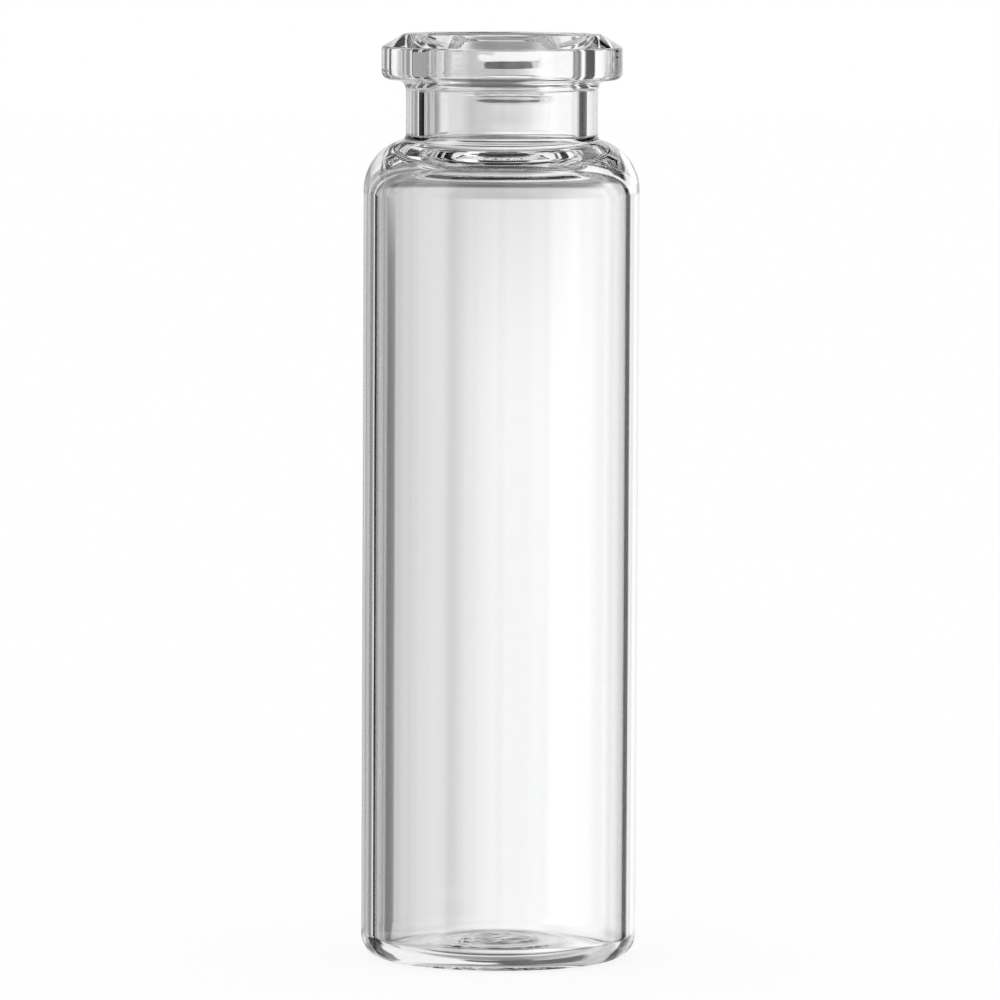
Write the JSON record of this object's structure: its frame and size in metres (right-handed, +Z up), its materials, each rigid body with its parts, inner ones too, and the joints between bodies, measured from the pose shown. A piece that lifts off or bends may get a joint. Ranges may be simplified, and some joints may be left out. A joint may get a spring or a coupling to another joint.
{
  "type": "glass sample vial",
  "caption": "Clear glass sample vial with a straight round body, a short neck and a beaded lip with a bevelled top for a crimp cap, open at the mouth.",
  "frame": {"origin": "centre of the standing ring, on the surface that the vial stands on", "axes": "+Z up along the vial's axis, out of the mouth"},
  "size_m": [0.0225, 0.0224, 0.0755],
  "materials": {
    "clear_glass": "clear colourless borosilicate, fire polished"
  },
  "bodies": {
    "root": {"vial": "clear_glass"}
  },
  "joints": []
}
